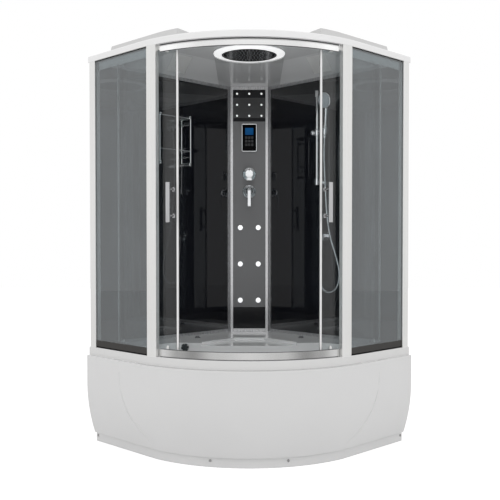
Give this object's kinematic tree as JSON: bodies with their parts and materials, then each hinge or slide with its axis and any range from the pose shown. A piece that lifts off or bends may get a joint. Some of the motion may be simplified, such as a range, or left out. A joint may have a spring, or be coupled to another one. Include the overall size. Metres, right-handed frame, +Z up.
{
  "type": "steam shower cabin",
  "caption": "Quadrant corner cabin with a deep tub, curved sliding glass doors, massage column, hand shower, rain shower and moulded roof.",
  "frame": {"origin": "middle of the cabin's plan box, on the floor", "axes": "+Z up, +Y towards the wall corner, -Y through the doorway to the room, +X to the right as seen from the room"},
  "size_m": [1.7168, 1.4012, 2.15],
  "materials": {
    "acrylic": "glossy moulded white acrylic",
    "apron_acrylic": "glossy moulded white acrylic, slightly grey",
    "frame_steel": "grey powder coat over square tube",
    "zinc": "zinc-plated, dull",
    "screw_steel": "satin stainless",
    "waste_plastic": "pale grey moulded pipe",
    "generator_case": "light grey paint",
    "black_plastic": "polished black",
    "jet_white": "glossy white nozzle in a polished ring",
    "wall_glass": "back-painted dark tempered glass",
    "aluminium": "satin anodised extrusion",
    "column_gloss": "glossy dark grey panel",
    "cover_sheet": "pale grey paint",
    "pipe_brass": "plain machined brass",
    "chrome": "polished chrome",
    "control_glass": "glossy black touch face",
    "display_blue": "lit blue display",
    "hose_metal": "wound polished steel strip",
    "shelf_glass": "clear tempered glass, green edge",
    "rain_black": "black face with rubber nozzles",
    "lamp_diffuser": "frosted diffuser",
    "side_glass": "smoked tempered glass",
    "door_glass": "clear tempered glass, faintly blue",
    "seal_white": "milky soft strip",
    "hanger_plastic": "white moulded carriage",
    "roller_plastic": "white roller on a steel axle"
  },
  "bodies": {
    "cabin": {"tub_basin": "acrylic", "front_apron": "apron_acrylic", "tub_frame": "frame_steel", "levelling_feet": "zinc", "apron_screws": "screw_steel", "waste_set": "waste_plastic", "steam_generator": "generator_case", "steam_outlets": "black_plastic", "wall_panel_left": "wall_glass", "wall_panel_right": "wall_glass", "wall_frame_left": "aluminium", "wall_frame_right": "aluminium", "column_panel": "column_gloss", "column_frame": "aluminium", "column_cover": "cover_sheet", "water_pipes": "pipe_brass", "neck_jets": "jet_white", "body_jets": "jet_white", "control_bezel": "chrome", "control_face": "control_glass", "control_screen": "display_blue", "diverter_plate": "chrome", "mixer_body": "chrome", "riser_rail": "chrome", "shower_hose": "hose_metal", "hose_outlet": "chrome", "shelf_frame": "chrome", "glass_shelves": "shelf_glass", "roof_shell": "acrylic", "ceiling_panel": "acrylic", "rain_bezel": "acrylic", "rain_shower": "rain_black", "ceiling_lamps": "lamp_diffuser", "outer_post_left": "aluminium", "outer_post_right": "aluminium", "inner_post_left": "aluminium", "inner_post_right": "aluminium", "top_rail": "aluminium", "bottom_rail": "aluminium", "fixed_glass_left": "side_glass", "fixed_glass_right": "side_glass"},
    "door_right": {"door_glass_right": "door_glass", "door_handle_right": "chrome", "door_seals_right": "seal_white", "door_hangers_right": "hanger_plastic"},
    "door_left": {"door_glass_left": "door_glass", "door_handle_left": "chrome", "door_seals_left": "seal_white", "door_hangers_left": "hanger_plastic"},
    "roller_right_front": {"roller_right_front": "roller_plastic"},
    "roller_right_rear": {"roller_right_rear": "roller_plastic"},
    "roller_left_front": {"roller_left_front": "roller_plastic"},
    "roller_left_rear": {"roller_left_rear": "roller_plastic"},
    "waste_knob": {"waste_knob": "black_plastic"},
    "diverter_knob": {"diverter_knob": "chrome"},
    "mixer_cap": {"mixer_cap_turn": "chrome"},
    "mixer_lever": {"mixer_lever": "chrome"},
    "slider": {"rail_slider": "chrome"},
    "shower_holder": {"handset_holder": "chrome", "hand_shower": "chrome"}
  },
  "joints": [
    {"name": "right_door_slide", "type": "hinge", "parent": "cabin", "child": "door_right", "pos_m": [0, 0.09562, 1.25], "axis": [0, 0, 1], "range_deg": [-27.15, 3]},
    {"name": "right_front_roller_spin", "type": "hinge", "parent": "door_right", "child": "roller_right_front", "pos_m": [0.3959, -0.53795, 1.9973], "axis": [0.5299, -0.848, 0], "range_deg": [-300, 2300]},
    {"name": "right_rear_roller_spin", "type": "hinge", "parent": "door_right", "child": "roller_right_rear", "pos_m": [0.65343, -0.26658, 1.9973], "axis": [0.8746, -0.4848, 0], "range_deg": [-300, 2300]},
    {"name": "left_door_slide", "type": "hinge", "parent": "cabin", "child": "door_left", "pos_m": [0, 0.09562, 1.25], "axis": [0, 0, 1], "range_deg": [-3, 27.15]},
    {"name": "left_front_roller_spin", "type": "hinge", "parent": "door_left", "child": "roller_left_front", "pos_m": [-0.3959, -0.53795, 1.9973], "axis": [-0.5299, -0.848, 0], "range_deg": [-2300, 300]},
    {"name": "left_rear_roller_spin", "type": "hinge", "parent": "door_left", "child": "roller_left_rear", "pos_m": [-0.65343, -0.26658, 1.9973], "axis": [-0.8746, -0.4848, 0], "range_deg": [-2300, 300]},
    {"name": "waste_knob_turn", "type": "hinge", "parent": "cabin", "child": "waste_knob", "pos_m": [-0.35309, -0.01162, 0.486], "axis": [-0.1395, -0.9902, 0], "range_deg": [0, 90]},
    {"name": "diverter_turn", "type": "hinge", "parent": "cabin", "child": "diverter_knob", "pos_m": [0, 0.52863, 1.484], "axis": [0, -1, 0], "range_deg": [-120, 120]},
    {"name": "mixer_heat_turn", "type": "hinge", "parent": "cabin", "child": "mixer_cap", "pos_m": [0, 0.51563, 1.377], "axis": [0, -1, 0], "range_deg": [-50, 50]},
    {"name": "mixer_flow_lift", "type": "hinge", "parent": "mixer_cap", "child": "mixer_lever", "pos_m": [0, 0.51117, 1.377], "axis": [-1, 0, 0], "range_deg": [0, 24]},
    {"name": "slider_travel", "type": "slide", "parent": "cabin", "child": "slider", "axis": [0, 0, 1], "range_m": [-0.24, 0.095], "deforming": ["shower_hose"]},
    {"name": "holder_tilt", "type": "hinge", "parent": "slider", "child": "shower_holder", "pos_m": [0.42992, 0.16888, 1.694], "axis": [0.7071, -0.7071, 0], "range_deg": [-8, 18]}
  ],
  "couplings": [
    {"joint": "right_front_roller_spin", "follows": "right_door_slide", "ratio": -83},
    {"joint": "right_rear_roller_spin", "follows": "right_door_slide", "ratio": -83},
    {"joint": "left_front_roller_spin", "follows": "left_door_slide", "ratio": -83},
    {"joint": "left_rear_roller_spin", "follows": "left_door_slide", "ratio": -83}
  ]
}
